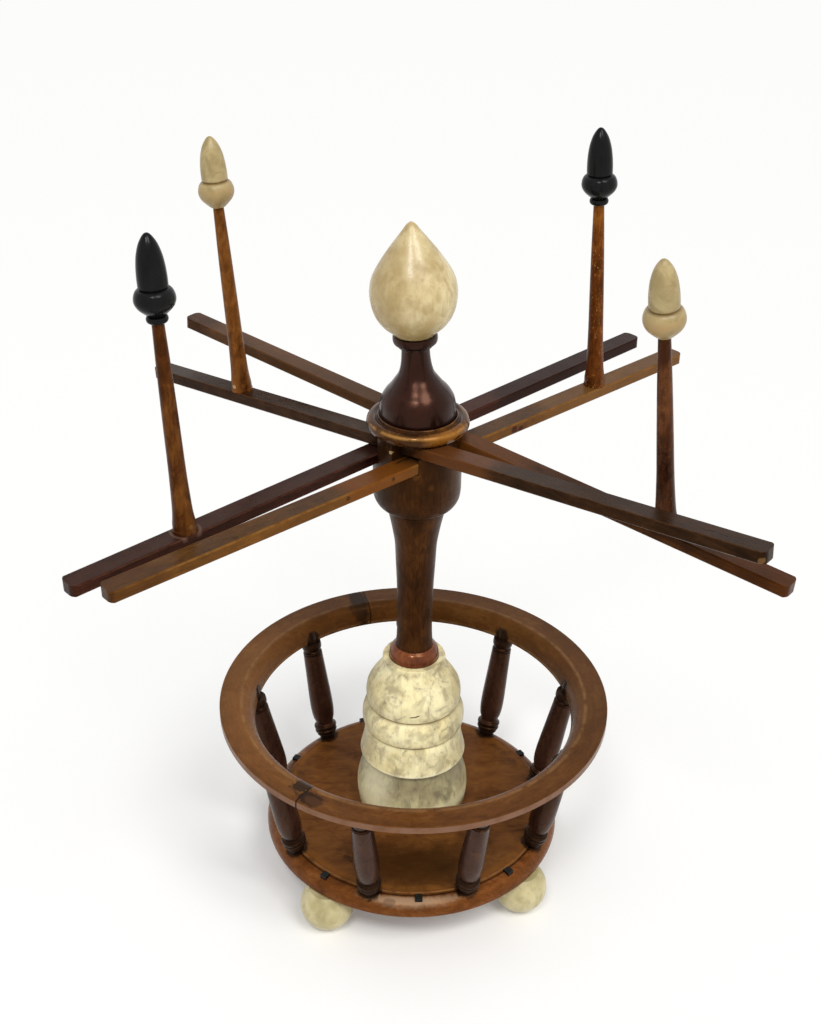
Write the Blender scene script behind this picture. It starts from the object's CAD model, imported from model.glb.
"""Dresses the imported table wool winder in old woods, veined stone, bone and iron, and lights it."""
import math

import bpy
import numpy as np
from mathutils import Euler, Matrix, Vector

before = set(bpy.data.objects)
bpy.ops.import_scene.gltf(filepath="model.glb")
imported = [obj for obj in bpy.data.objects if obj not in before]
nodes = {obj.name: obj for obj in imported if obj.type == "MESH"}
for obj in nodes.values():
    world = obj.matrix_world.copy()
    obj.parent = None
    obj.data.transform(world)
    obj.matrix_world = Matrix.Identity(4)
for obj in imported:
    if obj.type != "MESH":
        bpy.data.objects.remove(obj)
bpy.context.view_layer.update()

MM = 0.001

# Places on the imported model: headings in degrees from +X, radii and heights in millimetres
RAIL_JOINTS = (107.6, 237.0)
RAIL_RADIUS = 125.0
RAIL_OUTER = 137.0
PANEL_RADIUS = 97.0
PANEL_TOP = 47.0
BALUSTERS = 9
FIRST_BALUSTER = 13.4
BALUSTER_FOOT = (98.0, PANEL_TOP)
BALUSTER_HEAD = (114.6, 131.0)
STONE_RADIUS = 34.0
STEM_RING_TOP = 141.0
BUSH_TOP = 188.0
CUP_GROOVE = 318.0
COLLAR_RADIUS = 32.0
ACORN_GROOVE = 17.2

# Looks that several finishes share
GRIME = "#140c08"
WAX_TINT = "#ffb478"
WAX_SPECULAR = 0.28
WAX_ROUGHNESS = 0.22
SCATTER_DEPTH = 0.006
SCATTER_BY_COLOUR = (1.0, 0.7, 0.4)
WIDE_CLOUD = {"ragged": 0.4, "soft": 0.6, "size": 20}


def paint(code):
    """The shader's colour for a colour written as red, green and blue in hex digits."""
    parts = [int(code[i:i + 2], 16) / 255 for i in (1, 3, 5)]
    return [c / 12.92 if c <= 0.04045 else ((c + 0.055) / 1.055) ** 2.4 for c in parts] + [1.0]


class Wire:
    """A value, vector or colour of a node tree, for use in Python expressions."""

    def __init__(self, tree, socket):
        self.tree = tree
        self.socket = socket

    def __add__(self, other):
        return self.tree.math("ADD", self, other)

    def __sub__(self, other):
        return self.tree.math("SUBTRACT", self, other)

    def __rsub__(self, other):
        return self.tree.math("SUBTRACT", other, self)

    def __mul__(self, other):
        return self.tree.math("MULTIPLY", self, other)

    def __truediv__(self, other):
        return self.tree.math("DIVIDE", self, other)

    def __rtruediv__(self, other):
        return self.tree.math("DIVIDE", other, self)

    def __abs__(self):
        return self.tree.math("ABSOLUTE", self)

    __radd__ = __add__
    __rmul__ = __mul__


class Tree:
    """The node tree of a material or of the world. One method makes all its nodes."""

    def __init__(self, owner):
        owner.use_nodes = True
        self.nodes = owner.node_tree.nodes
        self.links = owner.node_tree.links

    def node(self, kind, settings, sockets, out=0):
        """Adds a node: its settings first, then the values or wires of its sockets. Returns one output."""
        made = self.nodes.new(kind)
        for key, value in settings.items():
            if key == "stops":
                ramp = made.color_ramp
                while len(ramp.elements) < len(value):
                    ramp.elements.new(0.5)
                for element, (position, colour) in zip(ramp.elements, value):
                    element.position = position
                    element.color = colour
            else:
                setattr(made, key, value)
        for key, value in sockets.items():
            if isinstance(value, Wire):
                self.links.new(value.socket, made.inputs[key])
            else:
                made.inputs[key].default_value = value
        return Wire(self, made.outputs[out])

    def math(self, operation, *values):
        return self.node("ShaderNodeMath", {"operation": operation}, dict(enumerate(values)))

    def length(self, one, other):
        """Length of the diagonal over two values."""
        return self.math("SQRT", one * one + other * other)

    def shows_background(self):
        """1 for rays that see a background: the camera's, and those that metal and glass send on."""
        camera, glossy, through = (self.node("ShaderNodeLightPath", {}, {}, f"Is {ray} Ray")
                                   for ray in ("Camera", "Glossy", "Transmission"))
        return self.math("MAXIMUM", self.math("MAXIMUM", camera, glossy), through)


class Finish(Tree):
    """A material whose pattern lies in the piece's own coordinates. Sizes are given in millimetres, and the
    coordinates in the tree are in metres."""

    def __init__(self, name, roughness=0.4, coat=0.0, coat_roughness=0.2, specular=0.5, under_surface=0.0,
                 tint="#ffffff"):
        self.material = bpy.data.materials.new(name)
        super().__init__(self.material)
        self.shader = self.nodes["Principled BSDF"]
        self.fix("Roughness", roughness)
        self.fix("Coat Weight", coat)
        self.fix("Coat Roughness", coat_roughness)
        self.fix("Specular IOR Level", specular)
        self.fix("Specular Tint", paint(tint))
        self.fix("Subsurface Weight", under_surface)
        self.fix("Subsurface Scale", SCATTER_DEPTH)
        self.fix("Subsurface Radius", SCATTER_BY_COLOUR)
        self.place = self.node("ShaderNodeTexCoord", {}, {}, "Object")

    def fix(self, socket, value):
        """Sets what is the same all over the surface."""
        self.shader.inputs[socket].default_value = value

    def feed(self, socket, wire):
        """Links what varies over the surface."""
        self.links.new(wire.socket, self.shader.inputs[socket])

    # Coordinates
    def vector(self, operation, *values, out=0):
        return self.node("ShaderNodeVectorMath", {"operation": operation}, dict(enumerate(values)), out)

    def part(self, vector, axis):
        return self.node("ShaderNodeSeparateXYZ", {}, {0: vector}, axis)

    def parts(self, vector):
        return [self.part(vector, axis) for axis in "XYZ"]

    def joined(self, x, y, z):
        return self.node("ShaderNodeCombineXYZ", {}, {"X": x, "Y": y, "Z": z})

    def turned(self, heading):
        """The piece's coordinates, turned so that X runs along a heading."""
        turn = Euler((0, 0, math.radians(-heading)))
        return self.node("ShaderNodeMapping", {}, {"Vector": self.place, "Rotation": turn})

    def around(self, middle):
        """Coordinates round the winder's axis: X runs both ways from one heading, with its seam opposite it,
        and is true to size at the rail's radius. Y is the distance from the axis, and Z the height."""
        x, y, z = self.parts(self.turned(middle))
        return self.joined(self.math("ARCTAN2", y, x) * (RAIL_RADIUS * MM), self.length(x, y), z)

    def by_baluster(self):
        """Coordinates as if every baluster stood at heading 0."""
        x, y, z = self.parts(self.place)
        half_step = math.radians(180 / BALUSTERS)
        heading = self.math("ARCTAN2", y, x) - math.radians(FIRST_BALUSTER)
        heading = self.math("WRAP", heading, half_step, -half_step)
        across = self.length(x, y)
        return self.joined(across * self.math("COSINE", heading), across * self.math("SINE", heading), z)

    def from_axis(self):
        """Distance from the winder's axis, and the height."""
        x, y, z = self.parts(self.place)
        return self.length(x, y), z

    def along(self, centre, axis):
        """Height along an axis through a point of a mesh."""
        from_centre = self.vector("SUBTRACT", self.place, Vector(centre))
        return self.vector("DOT_PRODUCT", from_centre, Vector(axis), out=1)

    def distance_to(self, point, vector=None):
        """Distance to a point that is given in millimetres."""
        return self.vector("DISTANCE", vector or self.place, Vector([c * MM for c in point]), out=1)

    def in_units(self, size, vector=None, stretch=(1, 1, 1)):
        """Coordinates in units of a size, longer where stretched."""
        return self.vector("MULTIPLY", vector or self.place, Vector([1 / (size * MM * s) for s in stretch]))

    # Patterns
    def noise(self, size, detail=3, rough=0.5, twist=0.0, vector=None, stretch=(1, 1, 1), out=0):
        """Clouds of values from 0 to 1 whose spots are about as large as size, longer where stretched."""
        sockets = {"Vector": self.in_units(size, vector, stretch), "Scale": 1.0, "Detail": detail,
                   "Roughness": rough, "Distortion": twist}
        return self.node("ShaderNodeTexNoise", {}, sockets, out)

    def patches(self, size, low, high, detail=3, rough=0.6):
        """0 in some clouds and 1 in others."""
        return self.rise(self.noise(size, detail, rough), low, high)

    def wander(self, size, reach, detail=3, rough=0.6):
        """Clouds of distances up to about reach either way."""
        return (self.noise(size, detail, rough) - 0.5) * (2 * reach * MM)

    def warped(self, size, reach):
        """The piece's coordinates, pushed about by reach in clouds of a size."""
        push = self.vector("SUBTRACT", self.noise(size, 2, out="Color"), Vector([0.5] * 3))
        push = self.vector("MULTIPLY", push, Vector([2 * reach * MM] * 3))
        return self.vector("ADD", self.place, push)

    def cells(self, size, vector):
        """Distance to the nearest border in a net of cells, as a share of their size."""
        sockets = {"Vector": self.in_units(size, vector), "Scale": 1.0}
        return self.node("ShaderNodeTexVoronoi", {"feature": "DISTANCE_TO_EDGE"}, sockets)

    # Shares from 0 to 1
    def rise(self, value, low, high):
        """0 below low, 1 above high, smooth between them. With low above high it falls."""
        sockets = {"Value": value, "From Min": low, "From Max": high}
        if low > high:
            sockets = {"Value": value, "From Min": high, "From Max": low, "To Min": 1.0, "To Max": 0.0}
        return self.node("ShaderNodeMapRange", {"interpolation_type": "SMOOTHSTEP"}, sockets)

    def between(self, value, low, high, fade):
        """1 from low to high, and 0 from fade outside them."""
        return self.rise(value, (low - fade) * MM, low * MM) * self.rise(value, (high + fade) * MM, high * MM)

    def within(self, distance, reach, core=0.0):
        """1 up to core, falling to 0 at reach. The distance counts both ways."""
        return self.rise(abs(distance), reach * MM, core * MM)

    def near_ring(self, radius, height, width):
        """1 at a ring round the winder's axis, falling to 0 at width from it."""
        across, z = self.from_axis()
        return self.within(self.length(across - radius * MM, z - height * MM), width)

    # Colour and relief
    def ramp(self, value, *stops):
        stops = [(position, paint(colour)) for position, colour in stops]
        return self.node("ShaderNodeValToRGB", {"stops": stops}, {0: value})

    def mix(self, share, under, over):
        """Colour under, covered by colour over as far as share says."""
        under, over = (paint(c) if isinstance(c, str) else c for c in (under, over))
        return self.node("ShaderNodeMix", {"data_type": "RGBA"}, {0: share, 6: under, 7: over}, 2)

    def marked(self, colour, height, marks):
        """The colour and height of a surface with marks on it."""
        for mark in marks:
            share, over, depth = mark(self)
            colour = self.mix(share, colour, over)
            if depth:
                height = height - share * depth
        return colour, height

    def relief(self, height, depth, strength):
        """Bumps from a height between 0 and 1."""
        sockets = {"Height": height, "Strength": strength, "Distance": depth * MM}
        self.feed("Normal", self.node("ShaderNodeBump", {}, sockets))


def old_wood(name, tones, heading=None, ring_seam=None, figure=1.0, gloss=0.35, shine=0.35, wax=0.0,
             dirt=0.5, grain=1.0, bumps=0.12, tint=WAX_TINT, marks=()):
    """Waxed old wood, whose grain runs up, along a heading, or round the axis from a seam. Tones are deep,
    middle and light."""
    wood = Finish(name, roughness=gloss, coat=wax, coat_roughness=WAX_ROUGHNESS,
                  specular=shine * WAX_SPECULAR, tint=tint)
    if ring_seam is not None:
        vector, long = wood.around(ring_seam + 180), (1, 0, 0)
    elif heading is not None:
        vector, long = wood.turned(heading), (1, 0, 0)
    else:
        vector, long = wood.place, (0, 0, 1)

    def grainy(size, detail, rough, twist, times):
        stretch = [1 + (times - 1) * s for s in long]
        return wood.noise(size, detail, rough, twist, vector, stretch)

    clouds = grainy(26, 3, 0.5, 0.5, times=2.2)
    mottle = grainy(5.5, 4, 0.62, 0.9, times=2.0)
    streaks = grainy(1.7, 3, 0.6, 0.4, times=11)
    pores = grainy(0.6, 2, 0.5, 0.0, times=9)
    smudges = wood.noise(16, 4, 0.58, 0.8)
    # Figure spreads the three patterns about their mean, which comes to lie at the middle tone
    value = clouds * (0.5 * figure) + mottle * (0.4 * figure) + streaks * (0.22 * grain * figure)
    value = value + (0.5 - (0.45 + 0.11 * grain) * figure)
    colour = wood.ramp(value, (0.32, tones[0]), (0.5, tones[1]), (0.7, tones[2]))
    colour = wood.mix(wood.rise(pores, 0.58, 0.72) * (0.4 * grain), colour, tones[0])
    colour = wood.mix(wood.rise(smudges, 0.5, 0.82) * dirt, colour, tones[0])
    height = streaks * 0.4 + mottle * 0.3 - wood.rise(pores, 0.58, 0.7) * 0.4
    colour, height = wood.marked(colour, height, marks)
    wood.feed("Base Color", colour)
    wood.feed("Roughness", wood.rise(smudges, 0.4, 0.8) * 0.16 + mottle * 0.14 + (gloss - 0.1))
    wood.relief(height, bumps, 0.6)
    return wood.material


def veined_stone(name, body, pale, shade, vein, veins, clouds, drips, gloss=0.42, marks=()):
    """Alabaster: wide pale clouds, soft grey smudges, thin veins, a broken net of cracks and small pits."""
    stone = Finish(name, roughness=gloss, coat=0.1, coat_roughness=0.3, specular=0.4, under_surface=0.15)
    cloud = stone.noise(22, 2, 0.5, 0.2)
    smudge = stone.noise(12, 3, 0.55, 0.35, stretch=(1, 1, 1.3))
    wisps = stone.noise(4.5, 4, 0.6, 0.5, stretch=(1, 1, 1.8))
    drip = stone.noise(3.0, 3, 0.55, 0.3, stretch=(1, 1, 5))
    net = stone.cells(16, stone.warped(15, 4))
    broken = stone.noise(8, 3, 0.6)
    line = stone.rise(net, 0.035, 0.0) * stone.rise(broken, 0.47, 0.66)
    halo = stone.rise(net, 0.2, 0.0) * stone.rise(broken, 0.4, 0.66)
    pit = stone.rise(stone.noise(1.5, 2, 0.5), 0.76, 0.8) * stone.rise(smudge, 0.45, 0.6)
    colour = stone.mix(stone.rise(cloud, 0.36, 0.6), body, pale)
    colour = stone.mix(stone.rise(smudge, 0.46, 0.7) * clouds, colour, shade)
    colour = stone.mix(stone.rise(wisps, 0.48, 0.75) * (clouds * 0.6), colour, shade)
    colour = stone.mix(stone.rise(drip, 0.52, 0.74) * drips, colour, shade)
    colour = stone.mix(halo * (veins * 0.4), colour, shade)
    colour = stone.mix(line * (veins * 0.8), colour, vein)
    colour = stone.mix(pit * 0.8, colour, vein)
    height = smudge * 0.25 - pit * 0.9 - line * 0.3
    colour, height = stone.marked(colour, height, marks)
    stone.feed("Base Color", colour)
    stone.feed("Roughness", stone.rise(smudge, 0.3, 0.8) * 0.2 + (gloss - 0.08))
    stone.relief(height, 0.35, 0.7)
    return stone.material


def bone(name, node):
    """Bone with a brown stain in the groove between an acorn's cup and its nut."""
    foot, axis = middle_line(node)
    stuff = Finish(name, roughness=0.4, coat=0.1, specular=0.4, under_surface=0.08)
    height = stuff.along(foot, axis) / MM
    cloud = stuff.noise(9, 4, 0.6, 0.8)
    specks = stuff.noise(2.2, 3, 0.6)
    groove = stuff.rise(abs(height - ACORN_GROOVE + (cloud - 0.5) * 1.2), 1.5, 0.2)
    cup = stuff.rise(height, 18, 10) * stuff.rise(cloud, 0.3, 0.65)
    colour = stuff.mix(stuff.rise(cloud, 0.3, 0.7), "#927f52", "#b09d6f")
    colour = stuff.mix(stuff.rise(specks, 0.6, 0.75) * 0.35, colour, "#8f794a")
    colour = stuff.mix(cup * 0.6, colour, "#9c7743")
    colour = stuff.mix(groove * 0.7, colour, "#6b4f26")
    stuff.feed("Base Color", colour)
    stuff.feed("Roughness", cloud * 0.2 + 0.3)
    stuff.relief(specks, 0.08, 0.5)
    return stuff.material


def rusted_iron():
    iron = Finish("iron", roughness=0.5)
    rust = iron.noise(5, 4, 0.6)
    iron.feed("Base Color", iron.ramp(rust, (0.35, "#2c2a28"), (0.55, "#4a4642"), (0.75, "#5b4436")))
    iron.fix("Metallic", 0.9)
    iron.relief(rust, 0.2, 0.5)
    return iron.material


def dress(material, *names):
    """Gives a material to CAD nodes."""
    for name in names:
        nodes[name].data.materials.clear()
        nodes[name].data.materials.append(material)


def mesh_points(node):
    return np.array([vertex.co for vertex in nodes[node].data.vertices])


def main_axes(points):
    """The directions in which points spread, from the least spread to the most."""
    return np.linalg.eigh(np.cov((points - points.mean(0)).T))[1].T


def bar_axes(node):
    """Middle of a straight bar, its long, wide and thin directions, and its half sizes along them."""
    points = mesh_points(node)
    middle = (points.min(0) + points.max(0)) / 2
    # The steep direction is the thin one, and is made to point up
    axes = [a if a[2] > 0 or abs(a[2]) < 0.3 else -a for a in main_axes(points)[::-1]]
    spans = [(points - middle) @ a for a in axes]
    middle = middle + sum(a * (s.max() + s.min()) / 2 for a, s in zip(axes, spans))
    return middle, axes, [(s.max() - s.min()) / 2 for s in spans]


def middle_line(node):
    """Lowest point of a long turned node's middle line, and the direction of that line."""
    points = mesh_points(node)
    axis = main_axes(points)[-1]
    axis = axis if axis[2] > 0 else -axis
    heights = (points - points.mean(0)) @ axis
    return points.mean(0) + axis * heights.min(), axis


# Marks that age and use left. Each function makes a mark, which gives a share, a colour and a depth.
# Headings are in degrees, sizes and places in millimetres. Where the share is 1, a mark covers the wood.
def worn_ring(radius, height, width, share, over):
    """A patchy line round the axis."""
    def mark(wood):
        return wood.near_ring(radius, height, width) * wood.patches(9, 0.3, 0.6) * share, over, 0.0
    return mark


def dark_ring(radius, height, width, share, over=GRIME):
    """Dirt in a groove round the axis."""
    def mark(wood):
        return wood.near_ring(radius, height, width) * share, over, 0.3
    return mark


def level_band(low, high, share, over, soft=1.0):
    """A band between two heights, with edges that fade over twice soft."""
    def mark(wood):
        z = wood.part(wood.place, "Z") + wood.wander(5, soft / 2)
        return wood.between(z, low + soft, high - soft, 2 * soft) * share, over, 0.0
    return mark


def outer_rim(radius, low, high, share, over):
    """What lies outside a radius, between two heights."""
    def mark(wood):
        across, z = wood.from_axis()
        outside = wood.rise(across, (radius - 1) * MM, radius * MM)
        patchy = wood.patches(13, 0.25, 0.6) * 0.5 + 0.5
        return wood.between(z, low, high, 1) * outside * patchy * share, over, 0.0
    return mark


def blot(heading, radius, half_length, half_width, share, over, depth=0.0, ragged=0.6, soft=0.25, size=5):
    """A ragged oval at one heading and radius, with its length round the axis."""
    def mark(wood):
        run, across = wood.parts(wood.around(heading))[:2]
        along = run * across / (RAIL_RADIUS * MM * half_length * MM)
        out = (across - radius * MM) / (half_width * MM)
        reach = wood.length(along, out) + (wood.noise(size, 4, 0.66, 0.8) - 0.5) * (ragged * 2.4)
        return wood.rise(reach, 1 + soft, 1 - soft) * share, over, depth
    return mark


def open_joint(heading):
    """A dark line across the rail at one heading."""
    def mark(wood):
        along = wood.part(wood.around(heading), "X") + wood.wander(6, 0.8, detail=2, rough=0.5)
        return wood.within(along, 0.75, 0.3), "#0c0704", 0.8
    return mark


def by_balusters(place, size, share, over):
    """Ragged grime round the same place at each baluster, given as a radius and a height."""
    def mark(wood):
        radius, height = place
        uneven = wood.noise(4, 4, 0.7, 0.6) * (size * 0.8 * MM)
        reach = wood.distance_to((radius, 0, height), wood.by_baluster()) + uneven
        # The noise adds about 0.4 times size
        edge = size * 1.4
        return wood.within(reach, edge + 0.8, edge - 1.4) * share, over, 0.2
    return mark


def spot(point, size, share, over, depth=0.3, soft=0.4, cloud=3):
    """A ragged spot at one point, with a softer edge where soft is larger."""
    def mark(wood):
        reach = wood.distance_to(point) + wood.noise(cloud, 3, 0.7) * (size * 0.9 * MM)
        return wood.within(reach, size * 1.5, size * (1.5 - soft)) * share, over, depth
    return mark


def crack(heading, radius, height, half_length, tilt, width=0.35, over="#120a06"):
    """A thin dark split in a turned piece, which runs round the axis both ways from one heading."""
    def mark(wood):
        x, _, z = wood.parts(wood.around(heading))
        run = x * (radius / RAIL_RADIUS)
        off = z - height * MM - run * tilt + wood.wander(7, 1.75)
        ends = wood.within(run, half_length, half_length * 0.6)
        return wood.within(off, width * 2, width * 0.6) * ends, over, 0.9
    return mark


def upright_split(heading, low, high):
    """A thin dark split that runs up a turned piece at one heading."""
    def mark(wood):
        x, across, z = wood.parts(wood.around(heading))
        off = x * across / (RAIL_RADIUS * MM) + wood.wander(9, 1.5)
        ends = wood.between(z, low + 4, high - 4, 4)
        return wood.within(off, 0.6, 0.18) * ends * 0.9, "#100804", 0.8
    return mark


def flecks(share, over, size, least):
    """Small flecks, longer upwards, and fewer where least is higher."""
    def mark(wood):
        speck = wood.noise(size, 2, 0.5, stretch=(1, 1, 2.2))
        patchy = wood.patches(11, 0.42, 0.6, detail=2, rough=0.5)
        return wood.rise(speck, least, least + 0.08) * patchy * share, over, 0.0
    return mark


class Arm:
    """A flat arm with its own axes: outward, to the left of that, and up. Its marks lie along these axes."""

    def __init__(self, name):
        self.name = name
        self.middle, axes, self.half = bar_axes(f"arm_{name}")
        outward = axes[0] if (axes[0][0] > 0) == ("right" in name) else -axes[0]
        self.axes = outward, np.cross(axes[2], outward), axes[2]

    def dress(self, tones, marks):
        outward = self.axes[0]
        heading = math.degrees(math.atan2(outward[1], outward[0]))
        wood = old_wood(f"arm_wood_{self.name}", tones, heading=heading, figure=1.25, gloss=0.3, shine=0.45,
                        dirt=0.45, grain=1.6, marks=marks)
        dress(wood, f"arm_{self.name}")

    def dress_post(self, tones, marks=()):
        wood = old_wood(f"post_wood_{self.name}", tones, figure=1.3, gloss=0.3, shine=0.5, dirt=0.4,
                        marks=marks)
        dress(wood, f"post_{self.name}")

    def places(self, wood):
        return [wood.along(self.middle, axis) for axis in self.axes]

    def top(self, share, over):
        """Another tone on the upper face."""
        def mark(wood):
            up = self.places(wood)[2]
            patchy = wood.patches(22, 0.3, 0.6, rough=0.55) * 0.5 + 0.5
            return wood.rise(up, 0.7 * self.half[2], 0.97 * self.half[2]) * patchy * share, over, 0.0
        return mark

    def right_side(self, share, over):
        """Another tone on the right long side."""
        def mark(wood):
            right = self.places(wood)[1] * -1
            patchy = wood.patches(12, 0.2, 0.55) * 0.6 + 0.4
            return wood.rise(right, 0.75 * self.half[1], 0.95 * self.half[1]) * patchy * share, over, 0.0
        return mark

    def stretch(self, start, end, share, over):
        """Another tone between two places along the arm."""
        def mark(wood):
            out = self.places(wood)[0] + wood.wander(14, 8)
            return wood.between(out, start + 9, end - 9, 18) * share, over, 0.0
        return mark

    def edges(self, share, over):
        """Worn, lighter edges."""
        def mark(wood):
            left, up = self.places(wood)[1:]
            lengthwise = wood.rise(abs(left), self.half[1] - 1.5 * MM, self.half[1] - 0.5 * MM)
            height = wood.rise(abs(up), self.half[2] - 1.5 * MM, self.half[2] - 0.5 * MM)
            return lengthwise * height * wood.patches(8, 0.3, 0.6) * share, over, 0.0
        return mark

    def spot(self, out, left, up, size, share, over):
        """A ragged spot at one place on the arm."""
        point = self.middle / MM + self.axes[0] * out + self.axes[1] * left + self.axes[2] * up
        return spot(point, size, share, over, depth=0.4)

    def split(self, start, end, left):
        """A thin dark crack along the upper face."""
        def mark(wood):
            out, side, up = self.places(wood)
            off = side - left * MM + wood.wander(8, 2.5)
            ends = wood.between(out, start + 3, end - 3, 3)
            return wood.within(off, 0.6, 0.2) * ends * wood.rise(up, 0, 2 * MM), "#100804", 0.8
        return mark

    def foot_line(self, post, radius, share, over):
        """A worn line round the foot of the arm's post."""
        def mark(wood):
            out, left, up = self.places(wood)
            off = wood.length(out - post * MM, left) - radius * MM
            return wood.within(off, 1.3, 0.4) * wood.rise(up, 0, 3 * MM) * share, over, 0.0
        return mark


# Rail: wide clouds, worn edges, grime at the balusters, and the dark patches round its two joints
rail_marks = [
    blot(183, 124, 95, 22, 0.35, "#84582f", **WIDE_CLOUD),
    blot(8, 126, 110, 24, 0.5, "#42290f", **WIDE_CLOUD),
    worn_ring(RAIL_OUTER, 144, 6, 0.35, "#3c2412"),
    outer_rim(134.5, 131, 142.4, 0.85, "#80604d"),
    worn_ring(112.4, 130, 2.2, 0.6, "#a07a54"),
    worn_ring(121.6, 143.4, 2.2, 0.35, "#a07a50"),
    blot(88, 124, 100, 24, 0.5, "#3a220d", **WIDE_CLOUD),
    by_balusters(BALUSTER_HEAD, 6.5, 0.92, GRIME),
    blot(110.6, 126, 6.5, 15, 0.95, "#130d09", depth=0.2, ragged=0.35),
    blot(112.5, 118, 6, 5, 0.8, "#2b1a0e", depth=0.3),
    blot(234.4, 122, 6, 8, 0.9, "#1a110b", depth=0.25, ragged=0.75),
    blot(239.6, 130, 8.6, 6.5, 0.92, "#170d08", depth=0.25, ragged=0.5),
    blot(240.8, 130.6, 6, 3.8, 0.8, "#4a2d1b", ragged=0.3),
    open_joint(RAIL_JOINTS[0]),
    open_joint(RAIL_JOINTS[1])]
rail_wood = old_wood("rail_wood", ("#381e0b", "#633b19", "#845b2f"), ring_seam=RAIL_JOINTS[0], figure=0.8,
                     gloss=0.3, shine=0.6, dirt=0.3, grain=0.8, marks=rail_marks)
dress(rail_wood, "rail_long_segment", "rail_short_segment")

# Base board: pale wear at the front, a dark seam at the panel, grime at the balusters and a pale drop
board_marks = [
    blot(270, 101.8, 30, 3.0, 0.75, "#a88a6e", ragged=0.5, soft=0.5),
    blot(262, 103, 4, 2.2, 0.5, "#4d3c30"),
    outer_rim(104, 30, 42, 0.25, "#4a2a14"),
    dark_ring(97.3, 45.4, 1.7, 0.97),
    by_balusters(BALUSTER_FOOT, 8.5, 0.9, "#0f0805"),
    spot((-81, -60, 47), 2.6, 0.8, "#cbbb9c", depth=0.0),
    flecks(0.5, "#2a160a", 1.6, 0.68)]
board_wood = old_wood("board_wood", ("#3a1f0d", "#6e3f1c", "#955f33"), heading=0, gloss=0.3, shine=0.6,
                      dirt=0.45, grain=0.6, marks=board_marks)
dress(board_wood, "base_board")

# Floor panel: a wide dark stain at the front, a worn rim and grime at the balusters
panel_marks = [
    blot(272, 72, 46, 21, 0.75, "#381f07", ragged=0.5, soft=0.5, size=14),
    worn_ring(93, 46.7, 5, 0.6, "#82511f"),
    worn_ring(PANEL_RADIUS - 0.4, PANEL_TOP, 1.0, 0.7, "#93683f"),
    by_balusters(BALUSTER_FOOT, 9, 0.9, "#120a06"),
    blot(236, 78, 6, 2.4, 0.6, "#241308", depth=0.2, ragged=0.8),
    flecks(0.4, "#2a1608", 1.3, 0.68)]
panel_wood = old_wood("panel_wood", ("#3a1f0c", "#6a411f", "#845629"), heading=0, gloss=0.36, shine=0.4,
                      dirt=0.45, grain=0.45, marks=panel_marks)
dress(panel_wood, "floor_panel")

# Balusters: nearly black beads at the foot and at the head
baluster_marks = [level_band(40, 59.5, 0.9, "#100a08"), level_band(118.5, 140, 0.85, "#110a07")]
baluster_wood = old_wood("baluster_wood", ("#130a08", "#2f1b14", "#482d22"), gloss=0.3, shine=0.9, dirt=0.4,
                         grain=0.7, marks=baluster_marks)
dress(baluster_wood, *[f"baluster_{i + 1}" for i in range(BALUSTERS)])

# Pegs, pins and dowels
ebony = old_wood("ebony", ("#040505", "#0c0e0c", "#161815"), gloss=0.2, shine=0.45, dirt=0.2, grain=0.4,
                 bumps=0.03, tint="#ffffff")
dress(ebony, "edge_pegs")
pale_peg = old_wood("pale_peg", ("#6f5536", "#a98a5c", "#cbb283"), gloss=0.5, dirt=0.4)
dress(pale_peg, "foot_dowels", "rail_dowels", "finial_dowel", "wall_pin")
dress(pale_peg, "post_pin_front_right", "post_pin_back_left")
brown_peg = old_wood("brown_peg", ("#3a2110", "#64401f", "#865c34"), gloss=0.42, dirt=0.4)
dress(brown_peg, "post_pin_front_left", "post_pin_back_right")

# Stone stem: brown seams between its forms, shaded sides, two light places and a short crack at the front
stem_marks = [
    dark_ring(31, STEM_RING_TOP, 2.6, 0.55, "#80693c"),
    dark_ring(32, 120.8, 2.6, 0.55, "#80693c"),
    worn_ring(37.6, 98.3, 1.5, 0.6, "#f6efcf"),
    worn_ring(33, 106, 12, 0.35, "#b3a478"),
    blot(190, STONE_RADIUS, 18, 9, 0.5, "#9d8d62", ragged=0.5, soft=0.7, size=9),
    blot(350, STONE_RADIUS, 18, 9, 0.45, "#9d8d62", ragged=0.5, soft=0.7, size=9),
    spot((0, -33, 151), 11, 0.7, "#fff5c2", depth=0.0, soft=1.0, cloud=12),
    spot((2, -36, 131), 8, 0.5, "#fff5c2", depth=0.0, soft=1.0, cloud=10),
    crack(272, 33, 149, 4, 0.25, width=0.4, over="#3b3226")]
stem_stone = veined_stone("stem_stone", "#efdfa6", "#fdf2c2", "#a39470", "#6f634b", veins=0.75, clouds=0.78,
                          drips=0.4, marks=stem_marks)
dress(stem_stone, "stone_stem")

# Stone drum: grey above, a pale rim below that, and a pale place at the front left
drum_marks = [
    level_band(80, 100, 0.55, "#62563c", soft=8),
    blot(222, STONE_RADIUS, 13, 16, 0.6, "#f3eac2", ragged=0.5, soft=0.6, size=8),
    level_band(61, 71, 0.6, "#efe6ba", soft=3)]
drum_stone = veined_stone("drum_stone", "#b0a37a", "#d2c795", "#6d634a", "#584d38", veins=0.4, clouds=0.8,
                          drips=0.7, marks=drum_marks)
dress(drum_stone, "stone_drum")

# Ball feet
foot_stone = veined_stone("foot_stone", "#b6aa7b", "#cdc194", "#91855c", "#6e6244", veins=0.1, clouds=0.5,
                          drips=0.0)
dress(foot_stone, *[f"ball_foot_{i}" for i in range(1, 5)])

# Finial: shaded at the front left
finial_marks = [blot(212, 23, 24, 14, 0.6, "#9c8352", ragged=0.5, soft=0.8, size=12)]
finial_stone = veined_stone("finial_stone", "#b9a472", "#dccb9d", "#9a7f4b", "#8a6f44", veins=0.1,
                            clouds=0.6, drips=0.35, gloss=0.3, marks=finial_marks)
dress(finial_stone, "finial")

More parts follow.
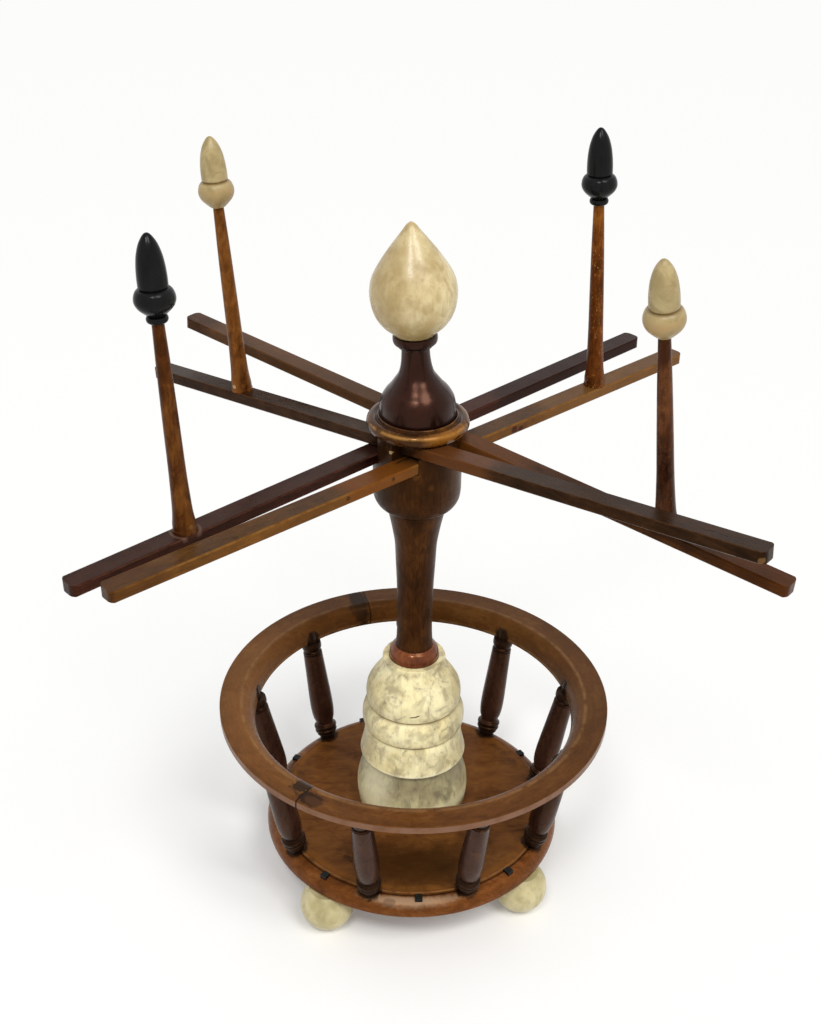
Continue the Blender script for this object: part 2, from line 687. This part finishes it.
# Bush
bush_wood = old_wood("bush_wood", ("#30130a", "#673420", "#93552f"), gloss=0.2, shine=1.7, wax=0.1,
                     bumps=0.05, dirt=0.2, grain=0.5)
dress(bush_wood, "bush")

# Pillar: a darker cup with two worn places, a groove below it, a split in the shaft and dirt at the foot
pillar_marks = [
    blot(205, 29, 15, 9, 0.6, "#1c1009", ragged=0.5, soft=0.5),
    spot((-1, -29, 336), 4.0, 0.5, "#6b431c", depth=0.0, soft=0.8),
    spot((9, -27, 327), 3.0, 0.4, "#6b431c", depth=0.0, soft=0.8),
    level_band(316, 352, 0.28, "#1e1005", soft=4),
    dark_ring(23.5, CUP_GROOVE, 2.0, 0.8),
    worn_ring(24, CUP_GROOVE + 3.5, 1.5, 0.6, "#7a5836"),
    dark_ring(11, BUSH_TOP, 3.0, 0.7),
    upright_split(205, 268, CUP_GROOVE)]
pillar_wood = old_wood("pillar_wood", ("#180c04", "#361d0a", "#523215"), gloss=0.32, shine=0.5, dirt=0.45,
                       grain=1.4, marks=pillar_marks)
dress(pillar_wood, "pillar")

# Collar: dark at the left, golden on its upper edge, two splits at the front right, dirt round the vase
collar_marks = [
    blot(160, COLLAR_RADIUS, 55, 20, 0.75, "#2c190d", ragged=0.4, soft=0.7, size=14),
    worn_ring(COLLAR_RADIUS, 363.6, 1.7, 0.7, "#b08143"),
    blot(305, 33, 13, 6, 0.5, "#9a621f", ragged=0.7, soft=0.5),
    crack(-48, COLLAR_RADIUS, 359.5, 9, 0.35),
    crack(-30, COLLAR_RADIUS, 361, 8, 0.15, width=0.25),
    dark_ring(27.6, 365.2, 2.4, 0.9, "#1c110a")]
collar_wood = old_wood("collar_wood", ("#190c04", "#3c2008", "#784a18"), ring_seam=100, figure=1.25,
                       gloss=0.2, shine=1.3, wax=0.05, bumps=0.08, dirt=0.6, marks=collar_marks)
dress(collar_wood, "collar")

# Vase
vase_wood = old_wood("vase_wood", ("#050101", "#120504", "#250b07"), gloss=0.24, shine=1.3, dirt=0.2,
                     grain=0.5, bumps=0.04, tint="#ffb99c")
dress(vase_wood, "vase")

# Spindle with its washer and nut
dress(rusted_iron(), "spindle", "spindle_washer", "spindle_nut")

# Front left arm, nearly black, with a worn line round its post's foot, and its post
arm = Arm("front_left")
arm.dress(("#150604", "#29100a", "#3e1f16"), [
    arm.top(0.6, "#38231c"),
    arm.edges(0.45, "#5b392e"),
    arm.foot_line(159.5, 8.7, 0.22, "#8f7465"),
    arm.stretch(-90, -25, 0.4, "#3e140c"),
    arm.stretch(-245, -95, 0.85, "#1d0805")])
arm.dress_post(("#271205", "#47250d", "#6c421a"), [flecks(0.35, "#2b1609", 1.4, 0.6)])

# Back right arm, golden, with small dents and a split near the cup, and its post
arm = Arm("back_right")
arm.dress(("#2a1606", "#4c2e10", "#6e471b"), [
    arm.top(0.5, "#45301b"),
    arm.right_side(0.45, "#7b5022"),
    arm.edges(0.6, "#8a5f2c"),
    arm.stretch(-75, -20, 0.6, "#6e3b0d"),
    arm.stretch(-245, -205, 0.5, "#3c210f"),
    arm.stretch(100, 240, 0.4, "#745028"),
    arm.spot(-155, -4, 3, 2.6, 0.7, "#2f1c0c"),
    arm.spot(-151, -5, 2, 1.8, 0.7, "#2f1c0c"),
    arm.spot(-192, -4, 3, 1.8, 0.6, "#3a2210"),
    arm.spot(-74, -7, 1, 1.8, 0.7, "#2c180a"),
    arm.spot(-38, -7, 1, 1.6, 0.7, "#1c0e06"),
    arm.spot(67, -7, 0, 3.0, 0.9, "#35120a"),
    arm.spot(73, -7, -1, 2.6, 0.9, "#35120a"),
    arm.split(-30, -6, 3)])
arm.dress_post(("#3a1a05", "#61320f", "#8c551e"), [flecks(0.7, "#ae8049", 0.9, 0.6)])

# Front right arm, brown, and its post
arm = Arm("front_right")
arm.dress(("#1b0e05", "#3a1f0b", "#563215"), [
    arm.top(0.3, "#482e1d"),
    arm.edges(0.4, "#6b4829"),
    arm.stretch(196, 260, 0.5, "#4d270a"),
    arm.stretch(-10, 60, 0.5, "#63370e"),
    arm.stretch(-215, -60, 0.5, "#64452c")])
arm.dress_post(("#1d0c07", "#432413", "#683f24"), [flecks(0.45, "#7c573e", 1.0, 0.64)])

# Back left arm, dark brown, with a split and a paler chip at its tail, and its post
arm = Arm("back_left")
arm.dress(("#130a03", "#281609", "#3f2816"), [
    arm.top(0.5, "#372519"),
    arm.edges(0.4, "#5a3d28"),
    arm.stretch(-60, -5, 0.55, "#6b3e1d"),
    arm.split(-222, -196, 1),
    arm.spot(-237, 6, -2, 2.6, 0.6, "#7a5a38")])
arm.dress_post(("#3d200b", "#6b3f19", "#8f602d"))

# Acorns: two of ebony with a ring below each, and two of bone
for name in ("front_left", "back_right"):
    dress(ebony, f"acorn_{name}", f"acorn_ring_{name}")
for name in ("front_right", "back_left"):
    dress(bone(f"bone_{name}", f"acorn_{name}"), f"acorn_{name}")

# Floor: pale paper that takes the object's shadow, with a glow for camera and reflections that grows outwards
FLOOR_SIZE = 30.0
FLOOR_COLOUR = (0.97, 0.97, 0.965, 1.0)
GLOW_COLOUR = (1.0, 1.0, 0.99, 1.0)
GLOW_NEAR = 0.13
GLOW_ADDED_FAR = 0.58
GLOW_RADII = (0.09, 0.3)
bpy.ops.object.select_all(action="DESELECT")
bpy.ops.mesh.primitive_plane_add(size=FLOOR_SIZE, location=(0, 0, 0))
floor = bpy.context.object
floor.name = "floor"
paper = Finish("floor_paper", roughness=0.9, specular=0.0)
paper.fix("Base Color", FLOOR_COLOUR)
lit = Wire(paper, paper.shader.outputs["BSDF"])
glow = paper.node("ShaderNodeEmission", {}, {"Color": GLOW_COLOUR, "Strength": 1.0}, "Emission")
outwards = paper.rise(paper.from_axis()[0], *GLOW_RADII)
share = paper.shows_background() * (outwards * GLOW_ADDED_FAR + GLOW_NEAR)
surface = paper.node("ShaderNodeMixShader", {}, {0: share, 1: lit, 2: glow}, "Shader")
paper.links.new(surface.socket, paper.nodes["Material Output"].inputs["Surface"])
floor.data.materials.append(paper.material)

# World: plain white, weaker as a light than as a background
LIGHT_OF_THE_SKY = 0.55
world = bpy.data.worlds.new("studio")
bpy.context.scene.world = world
studio = Tree(world)
sky = studio.nodes["Background"]
sky.inputs["Color"].default_value = (1.0, 1.0, 1.0, 1.0)
strength = studio.shows_background() * (1.0 - LIGHT_OF_THE_SKY) + LIGHT_OF_THE_SKY
studio.links.new(strength.socket, sky.inputs["Strength"])

# Lamps, which aim at the middle of the head
HUB = Vector((0, 0, 0.34))


def lamp(name, kind, place, energy, **settings):
    data = bpy.data.lights.new(name, kind)
    data.energy = energy
    for key, value in settings.items():
        setattr(data, key, value)
    made = bpy.data.objects.new(name, data)
    made.location = place
    made.rotation_euler = (HUB - Vector(place)).to_track_quat("-Z", "Y").to_euler()
    bpy.context.scene.collection.objects.link(made)


lamp("key_light", "SUN", (1.0, -1.25, 2.6), 1.4, angle=math.radians(26), color=(1.0, 0.985, 0.95))
lamp("window_light", "AREA", (-0.3, -1.4, 2.1), 15.0, shape="RECTANGLE", size=0.5, size_y=0.4)

# Camera, fitted to the photograph
CAMERA_PLACE = (0.0, -0.82877, 0.78081)
CAMERA_TURN = (59.758, -0.497, 1.038)
CAMERA_LENS = 51.318
CAMERA_SENSOR = 36.0
CAMERA_SHIFT = (0.0102, -0.0057)
view = bpy.data.cameras.new("photo_view")
view.sensor_fit = "VERTICAL"
view.sensor_height = CAMERA_SENSOR
view.lens = CAMERA_LENS
view.shift_x, view.shift_y = CAMERA_SHIFT
camera = bpy.data.objects.new("photo_view", view)
camera.location = CAMERA_PLACE
camera.rotation_euler = [math.radians(angle) for angle in CAMERA_TURN]
bpy.context.scene.collection.objects.link(camera)
bpy.context.scene.camera = camera
bpy.context.scene.view_settings.view_transform = "Standard"
